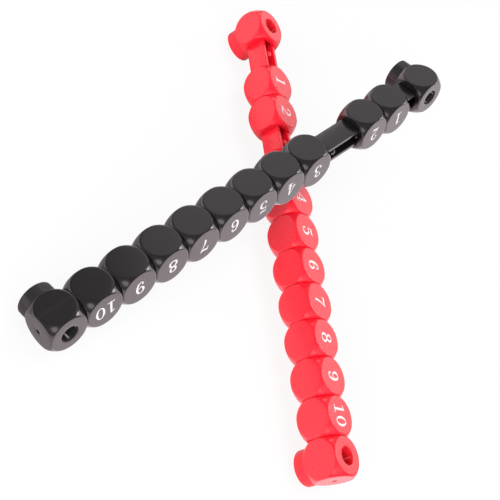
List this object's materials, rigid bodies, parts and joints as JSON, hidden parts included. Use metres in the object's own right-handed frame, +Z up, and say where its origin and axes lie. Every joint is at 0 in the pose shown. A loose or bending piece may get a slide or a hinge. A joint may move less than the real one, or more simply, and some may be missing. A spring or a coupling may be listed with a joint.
{
  "type": "foosball score counter",
  "caption": "Pair of table football score counters, numbered cube beads sliding on a rail between end blocks with screw bosses, one red and one black, set down crosswise.",
  "frame": {"origin": "middle of the underside of the bounding box of the pair, at rest on a flat surface", "axes": "+Z up; the black rail runs from its bead 10 end at -X to its bead 1 end at +X in the XZ plane's direction and rises towards +X; the red rail lies level and crosses under it"},
  "size_m": [0.2658, 0.2316, 0.0723],
  "materials": {
    "red_plastic": "satin",
    "black_plastic": "satin"
  },
  "bodies": {
    "red_frame": {"red_rail": "red_plastic", "red_start_block": "red_plastic", "red_finish_block": "red_plastic"},
    "red_bead_1": {"red_bead_1": "red_plastic"},
    "red_bead_2": {"red_bead_2": "red_plastic"},
    "red_bead_3": {"red_bead_3": "red_plastic"},
    "red_bead_4": {"red_bead_4": "red_plastic"},
    "red_bead_5": {"red_bead_5": "red_plastic"},
    "red_bead_6": {"red_bead_6": "red_plastic"},
    "red_bead_7": {"red_bead_7": "red_plastic"},
    "red_bead_8": {"red_bead_8": "red_plastic"},
    "red_bead_9": {"red_bead_9": "red_plastic"},
    "red_bead_10": {"red_bead_10": "red_plastic"},
    "black_frame": {"black_rail": "black_plastic", "black_start_block": "black_plastic", "black_finish_block": "black_plastic"},
    "black_bead_1": {"black_bead_1": "black_plastic"},
    "black_bead_2": {"black_bead_2": "black_plastic"},
    "black_bead_3": {"black_bead_3": "black_plastic"},
    "black_bead_4": {"black_bead_4": "black_plastic"},
    "black_bead_5": {"black_bead_5": "black_plastic"},
    "black_bead_6": {"black_bead_6": "black_plastic"},
    "black_bead_7": {"black_bead_7": "black_plastic"},
    "black_bead_8": {"black_bead_8": "black_plastic"},
    "black_bead_9": {"black_bead_9": "black_plastic"},
    "black_bead_10": {"black_bead_10": "black_plastic"}
  },
  "joints": [
    {"name": "black_counter_lift", "type": "slide", "parent": "red_frame", "child": "black_frame", "axis": [0, 0, 1], "range_m": [0, 0.06]},
    {"name": "red_bead_10_slide", "type": "slide", "parent": "red_frame", "child": "red_bead_10", "axis": [-0.5592, -0.829, 0], "range_m": [-0.00473, 0]},
    {"name": "red_bead_9_slide", "type": "slide", "parent": "red_bead_10", "child": "red_bead_9", "axis": [-0.5592, -0.829, 0], "range_m": [-0.00473, 0]},
    {"name": "red_bead_8_slide", "type": "slide", "parent": "red_bead_9", "child": "red_bead_8", "axis": [-0.5592, -0.829, 0], "range_m": [-0.00473, 0]},
    {"name": "red_bead_7_slide", "type": "slide", "parent": "red_bead_8", "child": "red_bead_7", "axis": [-0.5592, -0.829, 0], "range_m": [-0.00473, 0]},
    {"name": "red_bead_6_slide", "type": "slide", "parent": "red_bead_7", "child": "red_bead_6", "axis": [-0.5592, -0.829, 0], "range_m": [-0.00473, 0]},
    {"name": "red_bead_5_slide", "type": "slide", "parent": "red_bead_6", "child": "red_bead_5", "axis": [-0.5592, -0.829, 0], "range_m": [-0.00473, 0]},
    {"name": "red_bead_4_slide", "type": "slide", "parent": "red_bead_5", "child": "red_bead_4", "axis": [-0.5592, -0.829, 0], "range_m": [-0.00473, 0]},
    {"name": "red_bead_3_slide", "type": "slide", "parent": "red_bead_4", "child": "red_bead_3", "axis": [0.5592, 0.829, 0], "range_m": [0, 0.0144]},
    {"name": "red_bead_2_slide", "type": "slide", "parent": "red_frame", "child": "red_bead_2", "axis": [-0.5592, -0.829, 0], "range_m": [-0.0187, 0]},
    {"name": "red_bead_1_slide", "type": "slide", "parent": "red_bead_2", "child": "red_bead_1", "axis": [0.5592, 0.829, 0], "range_m": [0, 0.0187]},
    {"name": "black_bead_10_slide", "type": "slide", "parent": "black_frame", "child": "black_bead_10", "axis": [-0.9833, 0, -0.1819], "range_m": [-0.00473, 0]},
    {"name": "black_bead_9_slide", "type": "slide", "parent": "black_bead_10", "child": "black_bead_9", "axis": [-0.9833, 0, -0.1819], "range_m": [-0.00473, 0]},
    {"name": "black_bead_8_slide", "type": "slide", "parent": "black_bead_9", "child": "black_bead_8", "axis": [-0.9833, 0, -0.1819], "range_m": [-0.00473, 0]},
    {"name": "black_bead_7_slide", "type": "slide", "parent": "black_bead_8", "child": "black_bead_7", "axis": [-0.9833, 0, -0.1819], "range_m": [-0.00473, 0]},
    {"name": "black_bead_6_slide", "type": "slide", "parent": "black_bead_7", "child": "black_bead_6", "axis": [-0.9833, 0, -0.1819], "range_m": [-0.00473, 0]},
    {"name": "black_bead_5_slide", "type": "slide", "parent": "black_bead_6", "child": "black_bead_5", "axis": [-0.9833, 0, -0.1819], "range_m": [-0.00473, 0]},
    {"name": "black_bead_4_slide", "type": "slide", "parent": "black_bead_5", "child": "black_bead_4", "axis": [-0.9833, 0, -0.1819], "range_m": [-0.00473, 0]},
    {"name": "black_bead_3_slide", "type": "slide", "parent": "black_bead_4", "child": "black_bead_3", "axis": [0.9833, 0, 0.1819], "range_m": [0, 0.0247]},
    {"name": "black_bead_2_slide", "type": "slide", "parent": "black_frame", "child": "black_bead_2", "axis": [-0.9833, 0, -0.1819], "range_m": [-0.0084, 0]},
    {"name": "black_bead_1_slide", "type": "slide", "parent": "black_bead_2", "child": "black_bead_1", "axis": [0.9833, 0, 0.1819], "range_m": [0, 0.0084]}
  ]
}
